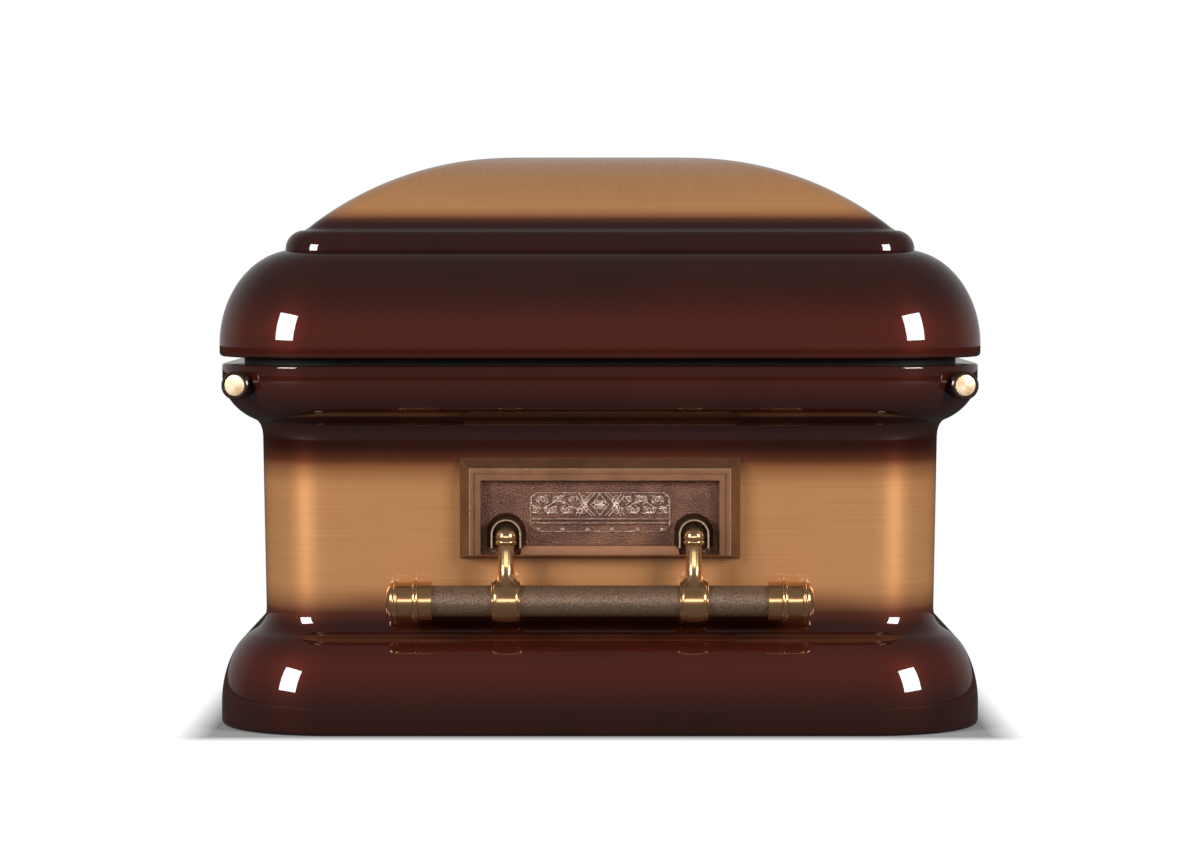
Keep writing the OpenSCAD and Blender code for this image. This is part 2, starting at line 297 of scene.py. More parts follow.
def lacquered_bronze():
    """Brushed bronze under clear lacquer, sprayed dark towards the mouldings by the mesh's gold value, with
    a painted red sheen on the dark lacquer by a second per-vertex value.
    """
    material, tree, shader = new_material("lacquered_bronze")
    gold = attribute(tree, "gold")
    mottle = noise(tree, 9, 3, rough=0.6)
    wobble = remap(tree, mottle, 0.3, 0.7, -0.05, 0.05)
    amount = math_node(tree, "ADD", gold, math_node(tree, "MULTIPLY", wobble, gold))
    level_brush = noise(tree, 1, 3, stretch=(5, 5, 900), rough=0.7)
    long_brush = noise(tree, 1, 3, stretch=(900, 4, 30), rough=0.7)
    normal = tree.nodes.new("ShaderNodeNewGeometry").outputs["Normal"]
    split = tree.nodes.new("ShaderNodeSeparateXYZ")
    tree.links.new(normal, split.inputs[0])
    flatness = remap(tree, split.outputs[2], 0.80, 0.97, 0, 1)
    brush = mix_value(tree, flatness, level_brush, long_brush)
    bright = mix_colour(tree, remap(tree, brush, 0.3, 0.7, 0, 1), GOLD, GOLD_PALE)
    bright = mix_colour(tree, remap(tree, mottle, 0.35, 0.65, 0, 0.35), bright, GOLD_WARM)
    # painted sheen: the dark lacquer turns red where the mouldings would catch light, plus a little random
    # mottle
    painted_sheen_and_mottle = math_node(tree, "ADD", attribute(tree, "painted_sheen"), remap(tree, mottle, 0.3, 0.75, 0, 0.2))
    dark = mix_colour(tree, painted_sheen_and_mottle, DARK, PAINTED_SHEEN_RED)
    edge = mix_colour(tree, remap(tree, amount, 0.0, 0.45, 0, 1), dark, FADE_RED)
    colour = mix_colour(tree, remap(tree, amount, 0.25, 1.0, 0, 1), edge, bright)
    tree.links.new(colour, shader.inputs["Base Color"])
    tree.links.new(remap(tree, gold, 0, 1, *METAL_SHARE), shader.inputs["Metallic"])
    shader.inputs["Specular IOR Level"].default_value = 0.0
    tree.links.new(remap(tree, brush, 0.25, 0.75, 0.38, 0.48), shader.inputs["Roughness"])
    shader.inputs["Anisotropic"].default_value = BRUSH_ANISOTROPY
    shader.inputs["Anisotropic Rotation"].default_value = BRUSH_TURN
    tangent = tree.nodes.new("ShaderNodeTangent")
    tangent.direction_type = "RADIAL"
    tangent.axis = "Z"
    tree.links.new(tangent.outputs[0], shader.inputs["Tangent"])
    shader.inputs["Coat Weight"].default_value = 1.0
    shader.inputs["Coat Roughness"].default_value = COAT_ROUGHNESS
    shader.inputs["Coat IOR"].default_value = COAT_IOR
    bump(tree, brush, 0.06, 0.0004, shader)
    return material


def polished_brass(name, colour, shade, roughness, metal=1.0):
    """Bright cast brass with faint wear and darker mottling."""
    material, tree, shader = new_material(name)
    patch = noise(tree, 60, 4)
    fine = noise(tree, 900, 2)
    mixed = mix_colour(tree, remap(tree, patch, 0.35, 0.7, 0, 0.35), colour, shade)
    tree.links.new(mixed, shader.inputs["Base Color"])
    shader.inputs["Metallic"].default_value = metal
    tree.links.new(remap(tree, patch, 0.3, 0.7, roughness, roughness + 0.05), shader.inputs["Roughness"])
    bump(tree, fine, 0.03, 0.0001, shader)
    return material


def antique_frame():
    """Brushed antique bronze of the plate's frame, hoods and ledge."""
    dark, light, worn = (0.225, 0.098, 0.047), (0.31, 0.142, 0.069), (0.135, 0.058, 0.030)
    material, tree, shader = new_material("antique_bronze_smooth")
    streak = noise(tree, 1, 4, stretch=(60, 60, 1400), rough=0.7)
    patch = noise(tree, 45, 4)
    colour = mix_colour(tree, remap(tree, streak, 0.3, 0.7, 0, 1), dark, light)
    colour = mix_colour(tree, remap(tree, patch, 0.4, 0.7, 0, 0.5), colour, worn)
    tree.links.new(colour, shader.inputs["Base Color"])
    shader.inputs["Metallic"].default_value = 0.65
    tree.links.new(remap(tree, streak, 0.3, 0.7, 0.30, 0.44), shader.inputs["Roughness"])
    bump(tree, streak, 0.08, 0.0002, shader)
    return material


def antique_panel():
    """Pebbled panel: dark and rough in the ground, rubbed bright on the relief by the mesh's rub value."""
    material, tree, shader = new_material("antique_bronze_panel")
    dark, light, brown = (0.100, 0.043, 0.030), (0.185, 0.084, 0.057), (0.27, 0.125, 0.065)
    recess, rubbed = (0.020, 0.011, 0.009), (0.84, 0.63, 0.52)
    rub = attribute(tree, "rub")
    cells = add(tree, "ShaderNodeTexVoronoi", Scale=700)
    tree.links.new(position(tree, (1, 1, 1)), cells.inputs["Vector"])
    grain = noise(tree, 380, 4, rough=0.65)
    patch = noise(tree, 40, 3)
    ground = mix_colour(tree, remap(tree, grain, 0.35, 0.65, 0, 1), dark, light)
    ground = mix_colour(tree, remap(tree, patch, 0.4, 0.65, 0, 0.6), ground, brown)
    ground = mix_colour(tree, remap(tree, rub, -1, 0, 1, 0), ground, recess)
    colour = mix_colour(tree, remap(tree, rub, 0.3, 1, 0, 1), ground, rubbed)
    tree.links.new(colour, shader.inputs["Base Color"])
    shader.inputs["Metallic"].default_value = 0.6
    tree.links.new(remap(tree, rub, 0, 1, 0.44, 0.26), shader.inputs["Roughness"])
    height = math_node(tree, "ADD", cells.outputs["Distance"], grain)
    bump(tree, height, 0.8, 0.0010, shader)
    return material


def pebbled_grip():
    """Pebble-grained antique bronze bar."""
    crest, hollow = (0.285, 0.182, 0.118), (0.165, 0.100, 0.062)
    material, tree, shader = new_material("pebbled_grip")
    cells = add(tree, "ShaderNodeTexVoronoi", Scale=780)
    cells.feature = "SMOOTH_F1"
    tree.links.new(position(tree, (1, 1, 1)), cells.inputs["Vector"])
    grain = noise(tree, 480, 3)
    height = math_node(tree, "ADD", cells.outputs["Distance"], math_node(tree, "MULTIPLY", grain, 0.8))
    colour = mix_colour(tree, remap(tree, height, 0.5, 1.0, 0, 1), crest, hollow)
    tree.links.new(colour, shader.inputs["Base Color"])
    shader.inputs["Metallic"].default_value = 0.5
    shader.inputs["Roughness"].default_value = 0.40
    bump(tree, height, 0.8, 0.0005, shader)
    return material


def dark_gloss():
    """Dark red-brown lacquer of the corner studs."""
    material, tree, shader = new_material("dark_gloss")
    patch = noise(tree, 80, 3)
    colour = mix_colour(tree, patch, (0.012, 0.0045, 0.0030), (0.035, 0.010, 0.0060))
    tree.links.new(colour, shader.inputs["Base Color"])
    shader.inputs["Metallic"].default_value = 0.6
    shader.inputs["Roughness"].default_value = 0.35
    shader.inputs["Coat Weight"].default_value = 1.0
    shader.inputs["Coat Roughness"].default_value = 0.05
    return material


def spun_gold():
    """Pale gold with the fine rings of a spun disc, and a painted fan-shaped highlight in its colour
    standing in for the gleam of spun metal.
    """
    shade, painted_gleam, groove = (0.62, 0.40, 0.23), (0.84, 0.66, 0.46), (0.70, 0.46, 0.26)
    material, tree, shader = new_material("spun_gold")
    coords = tree.nodes.new("ShaderNodeTexCoord").outputs["Object"]
    rings = add(tree, "ShaderNodeTexWave", Scale=420, Distortion=0.6, Detail=1.0)
    rings.wave_type = "RINGS"
    rings.rings_direction = "Z"
    tree.links.new(coords, rings.inputs["Vector"])
    fan = tree.nodes.new("ShaderNodeTexGradient")
    fan.gradient_type = "RADIAL"
    tree.links.new(coords, fan.inputs["Vector"])
    # painted highlight: two bright and two dim sectors round the disc, as spun metal reflects light
    painted_fan_highlight = math_node(tree, "SINE", math_node(tree, "MULTIPLY", fan.outputs["Fac"], 4 * math.pi), 0)
    base = mix_colour(tree, remap(tree, painted_fan_highlight, -1, 1, 0, 1), shade, painted_gleam)
    colour = mix_colour(tree, remap(tree, rings.outputs["Fac"], 0, 1, 0, 0.25), base, groove)
    tree.links.new(colour, shader.inputs["Base Color"])
    shader.inputs["Metallic"].default_value = 1.0
    shader.inputs["Roughness"].default_value = 0.38
    bump(tree, rings.outputs["Fac"], 0.15, 0.0001, shader)
    return material


def black_rubber():
    """Matt gasket rubber."""
    material, tree, shader = new_material("black_rubber")
    grain = noise(tree, 900, 3)
    colour = mix_colour(tree, grain, (0.006, 0.005, 0.005), (0.020, 0.017, 0.016))
    tree.links.new(colour, shader.inputs["Base Color"])
    shader.inputs["Roughness"].default_value = 0.65
    bump(tree, grain, 0.2, 0.0003, shader)
    return material


LACQUER = lacquered_bronze()
BRASS = polished_brass("polished_brass", (0.63, 0.365, 0.175), (0.45, 0.240, 0.108), 0.18, 0.90)
# near-black brass that paints the shade in the hood niches, on the hoods' outer cones and on the hinge pins
PAINTED_SHADE_BRASS = polished_brass("painted_shade_brass", (0.09, 0.05, 0.028), (0.04, 0.022, 0.013), 0.35)
# lighter brass along the hood lips and the frame's bevel crest: a painted highlight line
PAINTED_LIP_HIGHLIGHT = polished_brass("painted_lip_highlight", (0.72, 0.49, 0.34), (0.46, 0.285, 0.185), 0.24, 0.6)
FRAME = antique_frame()
PANEL = antique_panel()
GRIP = pebbled_grip()
STUD = dark_gloss()
SPUN = spun_gold()
RUBBER = black_rubber()


# ---------------------------------------------------------------- body and lid shells

CORNER_STEPS = 20
SHORT_STEPS = 10
LONG_STEPS = 26
CROWN_STEPS = 34
SHELL_SHARP = 40


def plan_ring(inset, z):
    """Points round the rounded rectangle at this inset and height, in metres."""
    r = max(CORNER_R - inset, HIP_R)
    x, y = HALF_W - inset - r, HALF_L - inset - r
    corners = [(x, y, 0), (-x, y, 90), (-x, -y, 180), (x, -y, 270)]
    sides = [SHORT_STEPS, LONG_STEPS, SHORT_STEPS, LONG_STEPS]
    points = []
    for k, (cx, cy, turn) in enumerate(corners):
        points += arc((cx, cy), (r, r), turn, turn + 90, CORNER_STEPS)
        nx, ny, _ = corners[(k + 1) % 4]
        a = math.radians(turn + 90)
        offset = np.array([r * math.cos(a), r * math.sin(a)])
        points += line(offset + (cx, cy), offset + (nx, ny), sides[k])[1:-1]
    return [(px * MM, py * MM, z * MM) for px, py in points]


def shell(name, levels, gold, painted_sheen, node):
    """Closed shell through the levels (inset, height), capped at both ends, with two values per level."""
    rings = [plan_ring(inset, z) for inset, z in levels]
    n = len(rings[0])
    verts = [p for ring in rings for p in ring]
    faces = []
    for k in range(len(rings) - 1):
        for i in range(n):
            j = (i + 1) % n
            faces.append((k * n + i, (k + 1) * n + i, (k + 1) * n + j, k * n + j))
    faces.append(tuple(range(n)))
    faces.append(tuple(range(len(verts) - 1, len(verts) - n - 1, -1)))
    obj = new_object(name, verts, faces, [LACQUER], "casket")
    close_up(obj, SHELL_SHARP)
    point_attribute(obj, "gold", np.repeat(np.asarray(gold), n))
    point_attribute(obj, "painted_sheen", np.repeat(np.asarray(painted_sheen), n))
    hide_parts(node)
    return obj


def body_outline():
    """Base moulding, wall, cove and ovolo rim, from the floor's edge up to the top flange."""
    foot = WALL_INSET + WALL_LEAN
    wall_foot = (foot - WALL_LEAN * FOOT_BEND / WALL_H, BASE_H + FOOT_BEND)
    wall_head = (WALL_INSET, WALL_TOP - HEAD_BEND)
    rim = arc((RIM_INSET + RIM_CURVE[0], BODY_H - RIM_CURVE_DROP), RIM_CURVE, 243.8, 180, 26)
    path = [(FLOOR_EDGE, 0)]
    path += arc((BASE_INSET + BASE_EDGE_R, BASE_EDGE_R), (BASE_EDGE_R, BASE_EDGE_R), 270, 180, 8)
    path += arc((BASE_INSET + BASE_CURVE[0], BASE_CURVE_Z), BASE_CURVE, 180, 108, 26)
    path += bezier(path[-1], (foot, path[-1][1] + BASE_PULL_RISE), wall_foot, 12)
    path += line(wall_foot, wall_head, 30)[1:]
    path += bezier(wall_head, (WALL_INSET, WALL_TOP + HEAD_PULL_RISE), rim[0], 12)
    path += rim[1:]
    path += arc((RIM_INSET + RIM_EDGE_R, BODY_H - RIM_EDGE_R), (RIM_EDGE_R, RIM_EDGE_R), 180, 90, 6)
    path += [(RIM_IN, BODY_H)]
    return path


def lid_outline():
    """Turned-in flange, big rim, bead and crown, from the flange's inner edge up to the flat top."""
    bead_z = LID_Z + LID_RIM_H
    curve_z = LID_Z + LID_CURVE_RISE
    crown_flat = BEAD_INSET + BEAD_R + BEAD_GAP + CROWN_RUN
    crown_a = math.degrees(math.asin(CROWN_RUN / CROWN_R))
    path = [(RIM_IN, LID_Z)]
    path += arc((LID_EDGE_R, LID_Z + LID_EDGE_R), (LID_EDGE_R, LID_EDGE_R), 270, 180, 8)
    path += arc((LID_CURVE_RUN, curve_z), (LID_CURVE_RUN, LID_RIM_H - LID_CURVE_RISE), 180, 98.5, 30)
    path += arc((BEAD_INSET + BEAD_R, bead_z), (BEAD_R, BEAD_R), 172, 90, 14)
    path += arc((crown_flat, LID_TOP - CROWN_R), (CROWN_R, CROWN_R), 90 + crown_a, 90, CROWN_STEPS)
    return path


FOOT_FADE = (BASE_H - 8, BASE_H + 38)
HEAD_FADE = (WALL_TOP - 52, WALL_TOP - 6)
CROWN_FADE = (2, 34)
# bands of painted sheen on the dark mouldings, each (strength, middle height, width) in millimetres
BODY_PAINTED_SHEEN = [(0.85, 62, 24), (0.6, BASE_H + 8, 12), (0.2, 258, 12), (0.45, BODY_H - 22, 20)]
LID_PAINTED_SHEEN = [(0.95, LID_Z + 24, 26)]


def painted_sheen_at(height, humps):
    """Painted sheen: how red the dark lacquer is made at each height, standing in for light caught by the
    mouldings: a sum of (strength, middle, width) humps.
    """
    return sum(strength * np.exp(-((height - middle) / width) ** 2) for strength, middle, width in humps)


def make_body():
    """The box, outside and inside, gold on the wall between its dark mouldings."""
    outer = body_outline()
    inner = beside(outer, SHEET_T)[::-1]
    unseen = [0.0] * len(inner)
    height = np.array([z for _, z in outer])
    gold = smooth(*FOOT_FADE, height) * (1 - smooth(*HEAD_FADE, height))
    painted_sheen = painted_sheen_at(height, BODY_PAINTED_SHEEN)
    return shell("body_shell", outer + inner, list(gold) + unseen, list(painted_sheen) + unseen, "casket_body")


def make_lid():
    """The lid, gold on the crown above its dark bead and rim."""
    outer = lid_outline()
    inner = beside(outer, SHEET_T)[::-1]
    unseen = [0.0] * len(inner)
    steps = np.linalg.norm(np.diff(np.array(outer), axis=0), axis=1)
    run = np.concatenate([[0], np.cumsum(steps)])
    start = run[-(CROWN_STEPS + 1)]
    gold = smooth(start + CROWN_FADE[0], start + CROWN_FADE[1], run)
    painted_sheen = painted_sheen_at(np.array([z for _, z in outer]), LID_PAINTED_SHEEN)
    return shell("lid_shell", inner + outer, unseen + list(gold), unseen + list(painted_sheen), "lid")


make_body()
make_lid()


# ---------------------------------------------------------------- where the handles are

LEAN = math.atan(WALL_LEAN / WALL_H)
HINGE_INSET = WALL_INSET + (WALL_TOP - HINGE_Z) * math.tan(LEAN)


def station_matrix(k):
    """Places a handle drawn facing -Y, with its origin on the wall at the hinge line."""
    half = HALF_L if k % 2 == 0 else HALF_W
    turn = Matrix.Rotation(math.radians(90 * k), 4, "Z")
    move = Matrix.Translation((0, -(half - HINGE_INSET) * MM, HINGE_Z * MM))
    return turn @ move @ Matrix.Rotation(LEAN, 4, "X")


HANGING = Matrix.Translation((0, -HINGE_OUT * MM, 0)) @ Matrix.Rotation(math.radians(-HANG_ANGLE), 4, "X")


def lathe(profile, segments, low_angle=0.0, high_angle=360.0):
    """Vertices and faces of a shape turned about Z from (radius, height) points in millimetres."""
    full = high_angle - low_angle >= 360
    count = segments if full else segments + 1
    angles = np.radians(np.linspace(low_angle, high_angle, segments + 1)[:count])
    verts = [(r * math.cos(a) * MM, r * math.sin(a) * MM, z * MM) for r, z in profile for a in angles]
    faces = []
    for k in range(len(profile) - 1):
        for i in range(count if full else count - 1):
            j = (i + 1) % count
            faces.append((k * count + i, k * count + j, (k + 1) * count + j, (k + 1) * count + i))
    return verts, faces


def merge(parts):
    """Joins (verts, faces, matrix, material index) parts into one mesh's lists."""
    verts, faces, slots = [], [], []
    for part_verts, part_faces, matrix, slot in parts:
        start = len(verts)
        verts += [tuple(matrix @ Vector(v)) for v in part_verts]
        faces += [tuple(start + i for i in f) for f in part_faces]
        slots += slot if isinstance(slot, list) else [slot] * len(part_faces)
    return verts, faces, slots


def casting(name, parts, materials, matrix, body, node, keep_axes=False):
    """One piece of hardware made of merged parts, placed by its matrix."""
    verts, faces, slots = merge(parts)
    obj = new_object(name, verts, faces, materials, body)
    obj.data.polygons.foreach_set("material_index", slots)
    close_up(obj, CASTING_SHARP, WELD)
    if keep_axes:
        obj.matrix_world = matrix
    else:
        obj.data.transform(matrix)
    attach(obj, body)
    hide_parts(node)
    HARDWARE.objects.link(obj)
    return obj


HARDWARE = bpy.data.collections.new("hardware")
CASTING_SHARP = 32
WELD = 1e-6
IDENTITY = Matrix.Identity(4)
ALONG_X = Matrix.Rotation(math.radians(90), 4, "Y")
OUTWARD = Matrix.Rotation(math.radians(90), 4, "X")


# ---------------------------------------------------------------- handle plate

FRAME_SIDE, FRAME_TOP, FRAME_LOW = 20.75, 20.9, 5.0
OPEN_LOW = PLATE_LOW + FRAME_LOW
OPEN_HIGH = PLATE_LOW + PLATE_H - FRAME_TOP
OPEN_HALF = PLATE_W / 2 - FRAME_SIDE
PLAQUE_HALF, PLAQUE_HIGH, PLAQUE_CORNER = 67, 41.8, 9
STUD_ROW = 5.7
FIELD_LOW = 17.8
SCROLL_MID = 29.6
FINE_STEP, COARSE_STEP = 0.4, 0.85
PEBBLE_H = 0.40
VINE_HALF_W, VINE_H = 0.55, 1.15
BERRY_R = 0.95
RAIL_HEIGHTS = (12.0, 16.0)
RAIL_HALF_W, RAIL_H = 1.35, 1.3
STUD_COUNT, STUD_SPACING, STUD_R = 6, 23.6, 2.7
FRAME_SLOT, PANEL_SLOT, LIP_SLOT, SHADE_SLOT = 0, 1, 2, 3
PLATE_SHARP = 28


def frame_part():
    """The bevelled frame as rectangular loops, each (side margin, lower margin, upper margin, depth)."""
    loops = [
        (0, 0, 0, 0),
        (0, 0, 0, 1.6),
        (0.5, 0.3, 0.5, 2.2),
        (9.4, 3.7, 9.0, PLATE_T - 0.5),
        (10.2, 4.1, 9.7, PLATE_T),
        (13.6, 4.2, 13.2, PLATE_T),
        (13.9, 4.25, 13.5, PLATE_T - 1.1),
        (14.8, 4.3, 14.4, PLATE_T - 1.1),
        (15.1, 4.35, 14.7, PLATE_T),
        (20.2, FRAME_LOW - 0.4, 20.3, PLATE_T),
        (FRAME_SIDE, FRAME_LOW, FRAME_TOP, PLATE_T - 0.5),
        (FRAME_SIDE, FRAME_LOW, FRAME_TOP, PANEL_T - 0.5),
    ]
    verts = []
    for side, low, high, depth in loops:
        x, z0, z1 = PLATE_W / 2 - side, PLATE_LOW + low, PLATE_LOW + PLATE_H - high
        verts += [(px * MM, -depth * MM, pz * MM) for px, pz in ((-x, z0), (x, z0), (x, z1), (-x, z1))]
    faces = []
    for k in range(len(loops) - 1):
        for i in range(4):
            j = (i + 1) % 4
            faces.append((4 * k + i, 4 * k + j, 4 * k + 4 + j, 4 * k + 4 + i))
    faces.append((3, 2, 1, 0))
    last = 4 * (len(loops) - 1)
    faces.append((last, last + 1, last + 2, last + 3))
    # the narrow band at the crest of the inner bevel takes the painted highlight
    slots = [LIP_SLOT if k == 3 else FRAME_SLOT for k in range(len(loops) - 1) for _ in range(4)]
    return verts, faces, slots + [FRAME_SLOT, FRAME_SLOT]


def hood_part():
    """Arched hood: its section swept up one cheek, over the arch and down the other, one slot a face."""
    back = PANEL_T - 0.5
    section = [
        (HOOD_R, back),
        (HOOD_R, HINGE_OUT + 3.4),
        (HOOD_R + 0.3, HINGE_OUT + 3.9),
        (HOOD_R + 1.3, HINGE_OUT + 4.0),
        (HOOD_R + 1.7, HINGE_OUT + 3.6),
        (HOOD_R + 1.9, HINGE_OUT + 2.4),
        (HOOD_R + 2.2, HINGE_OUT - 3),
        (HOOD_R + 3.6, HINGE_OUT - 10),
        (HOOD_FOOT_R, PANEL_T + 1.2),
        (HOOD_FOOT_R, back),
    ]
    angles = np.linspace(0, 180, 33)
    columns = [(0, -CHEEK_LEN)] + [(a, 0.0) for a in angles] + [(180, -CHEEK_LEN)]
    verts = []
    for angle, drop in columns:
        c, s = math.cos(math.radians(angle)), math.sin(math.radians(angle))
        verts += [(r * c * MM, -v * MM, (HOOD_RISE + r * s + drop) * MM) for r, v in section]
    n = len(section)
    faces = [(k * n + i, (k + 1) * n + i, (k + 1) * n + (i + 1) % n, k * n + (i + 1) % n)
             for k in range(len(columns) - 1) for i in range(n)]
    faces.append(tuple(range(n)))
    faces.append(tuple(range(len(verts) - 1, len(verts) - n - 1, -1)))
    # the niche wall, the outer slope and the cheek end faces take the painted shade; the lip takes the
    # painted highlight
    by_edge = [SHADE_SLOT] + [LIP_SLOT] * 3 + [SHADE_SLOT] * 4 + [FRAME_SLOT] * 2
    slots = by_edge * (len(columns) - 1) + [SHADE_SLOT, SHADE_SLOT]
    return verts, faces, slots


def ledge_part():
    """Smooth ledge between the arms, with slanted ends and eased edges."""
    low, high = OPEN_LOW - 0.5, OPEN_LOW + 8.5
    reach_low, reach_high = ARM_SPACING / 2 - 13, ARM_SPACING / 2 - 15
    loops = []
    for ease, depth in ((0, PANEL_T - 0.5), (0, PLATE_T - 0.8), (0.25, PLATE_T - 0.2), (0.8, PLATE_T)):
        loops.append([(-reach_low + ease, low), (reach_low - ease, low),
                      (reach_high - ease, high - ease), (-reach_high + ease, high - ease), depth])
    verts = [(x * MM, -loop[4] * MM, z * MM) for loop in loops for x, z in loop[:4]]
    faces = [(4 * k + i, 4 * k + (i + 1) % 4, 4 * k + 4 + (i + 1) % 4, 4 * k + 4 + i)
             for k in range(3) for i in range(4)]
    faces.append((12, 13, 14, 15))
    faces.append((3, 2, 1, 0))
    return verts, faces


def ridge(distance, half_width, height):
    """Half-round ridge by distance from its centre line."""
    t = np.clip(1 - (distance / half_width) ** 2, 0, 1)
    return height * np.sqrt(t)


def near_path(u, w, points):
    """Distance of every grid point to a polyline."""
    best = np.full(u.shape, 1e9)
    for (x0, y0), (x1, y1) in zip(points[:-1], points[1:]):
        dx, dy = x1 - x0, y1 - y0
        t = np.clip(((u - x0) * dx + (w - y0) * dy) / (dx * dx + dy * dy + 1e-9), 0, 1)
        best = np.minimum(best, np.hypot(u - x0 - t * dx, w - y0 - t * dy))
    return best


def leaf(x, y, turn, size):
    """Outline and midrib of a pointed leaf, as polylines."""
    c, s = math.cos(turn), math.sin(turn)
    lines = []
    for bulge in (0.30, -0.30, 0.0) if size > 7 else (0.30, -0.30):
        ps = np.linspace(0, 1 if bulge else 0.75, 9)
        qs = bulge * np.sin(np.pi * ps) * (1 + 0.25 * np.sin(3 * np.pi * ps))
        lines.append([(x + size * (p * c - q * s), y + size * (p * s + q * c)) for p, q in zip(ps, qs)])
    return lines


def curl(x, y, r, start, turns):
    """A spiral that tightens towards its middle."""
    steps = np.linspace(0, 1, 22)
    return [(x + r * (1 - 0.7 * t) * math.cos(start + turns * 2 * math.pi * t),
             y + r * (1 - 0.7 * t) * math.sin(start + turns * 2 * math.pi * t)) for t in steps]


def scroll_lines():
    """One half of the foliate scroll: stem, curls, leaves, crossed ribbons and a lozenge in the middle."""
    mid = SCROLL_MID
    lines = [[(t, mid + 3.6 * math.sin(t / 5.6 + 0.9)) for t in np.linspace(19, 65, 60)]]
    for k in range(6):
        x = 24 + 7.8 * k
        side = 1 if k % 2 == 0 else -1
        lines.append(curl(x, mid + side * 4.6, 4.4, -side * 1.4, side * 1.1))
        lines += leaf(x + 2.2, mid - side * 1.5, -side * 0.85, 8.5)
        lines += leaf(x - 2.6, mid - side * 3.0, -side * 2.2, 6.5)
    for lean in (1, -1):
        lines.append([(5, mid + lean * 10.5), (12, mid + lean * 3), (20, mid - lean * 10.5)])
        lines.append([(8, mid + lean * 10.8), (14.5, mid + lean * 4), (23, mid - lean * 9.5)])
        lines += leaf(13, mid, lean * 1.2, 9.5)
    lines.append([(0, mid + 10.6), (3.4, mid + 5.4), (8.6, mid), (3.4, mid - 5.4), (0, mid - 10.6)])
    for turn in (-1.25, -0.45, 0.45, 1.25):
        lines += leaf(0.5, mid, turn, 6.2 - 1.4 * abs(turn))
    return lines


def scroll_relief(x, w):
    """Height of the scroll, mirrored about the plaque's middle: thin ridges with berries between."""
    relief = np.zeros(x.shape)
    for points in scroll_lines():
        relief = np.maximum(relief, ridge(near_path(x, w, points), VINE_HALF_W, VINE_H))
    for k in range(6):
        cx, cy = 28 + 7.3 * k, SCROLL_MID + (8.2 if k % 2 else -8.2)
        for dx, dy in ((0, 0), (1.9, 0.5), (-1.9, 0.4)):
            relief = np.maximum(relief, ridge(np.hypot(x - cx - dx, w - cy - dy), BERRY_R, 1.0))
    return relief


def steps_between(low, fine_low, fine_high, high):
    """Grid lines, finer in the middle stretch."""
    first = np.linspace(low, fine_low, max(2, int((fine_low - low) / COARSE_STEP)))
    middle = np.linspace(fine_low, fine_high, int((fine_high - fine_low) / FINE_STEP))
    last = np.linspace(fine_high, high, max(2, int((high - fine_high) / COARSE_STEP)))
    return np.concatenate([first, middle[1:], last[1:]])


def panel_part():
    """The sunk panel as a fine height field with pebbles, plaque, scroll, rails and studs; and its rub."""
    us = steps_between(-OPEN_HALF, -PLAQUE_HALF - 0.6, PLAQUE_HALF + 0.6, OPEN_HALF)
    ws = steps_between(OPEN_LOW, 2.5, PLAQUE_HIGH + 0.6, OPEN_HIGH)
    u, w = np.meshgrid(us, ws)
    random = np.random.default_rng(7)
    pebbles = random.random(u.shape)
    pebbles = sum(np.roll(pebbles, shift, (0, 1)) for shift in ((0, 0), (1, 0), (0, 1), (1, 1))) / 4
    height = PEBBLE_H * (pebbles - 0.5)

    inside_x = PLAQUE_HALF - np.abs(u)
    above = w - (PLAQUE_HIGH - PLAQUE_CORNER)
    corner = np.hypot(np.maximum(PLAQUE_CORNER - inside_x, 0), np.maximum(above, 0))
    edge = np.where((inside_x < PLAQUE_CORNER) & (above > 0), PLAQUE_CORNER - corner,
                    np.minimum(inside_x, PLAQUE_HIGH - w))
    edge = np.minimum(edge, np.minimum(w - STUD_ROW + 2.2, (w - STUD_ROW) + inside_x - 4))
    height += 0.6 * smooth(-0.3, 0.5, edge)
    field = (edge > 1.3) & (w > FIELD_LOW)
    relief = np.zeros(u.shape)
    relief[field] = scroll_relief(np.abs(u[field]), w[field])
    border = ridge(np.abs(edge - 0.7), 0.7, 1.0)
    height += 0.95 * relief + 0.6 * border
    rub = np.where(field, np.where(relief > 0.1, relief, -0.9), 0.0)
    rub = np.maximum(rub, np.where(border > 0.2, 0.75 * border, rub))
    for centre in RAIL_HEIGHTS:
        rail = ridge(np.abs(w - centre), RAIL_HALF_W, RAIL_H) * (np.abs(u) < PLAQUE_HALF - 1.5)
        height = np.maximum(height, 0.8 * (rail > 0) + rail)
        rub = np.maximum(rub, 0.42 * (rail > 0.4))
    for k in range(STUD_COUNT):
        stud_x = STUD_SPACING * (k - (STUD_COUNT - 1) / 2)
        stud = ridge(np.hypot(u - stud_x, w - STUD_ROW), STUD_R, 2.2)
        height = np.maximum(height, stud)
        rub = np.maximum(rub, 0.6 * (stud > 1.2))

    verts = np.stack([u, -(PANEL_T + height), w], -1).reshape(-1, 3) * MM
    index = np.arange(u.size).reshape(u.shape)
    quads = np.stack([index[:-1, :-1], index[:-1, 1:], index[1:, 1:], index[1:, :-1]], -1).reshape(-1, 4)
    border = np.concatenate([index[0, :-1], index[:-1, -1], index[-1, :0:-1], index[:0:-1, 0]])
    skirt = verts[border]
    skirt[:, 1] = -(PANEL_T - 0.6) * MM
    low = u.size + np.arange(len(border))
    sides = np.stack([border, np.roll(border, -1), np.roll(low, -1), low], -1)
    faces = [tuple(q) for q in quads.tolist()] + [tuple(q) for q in sides.tolist()] + [tuple(low.tolist())]
    rub = np.concatenate([rub.ravel(), np.zeros(len(border))])
    return [tuple(v) for v in np.vstack([verts, skirt])], faces, rub


PANEL_MESH = panel_part()


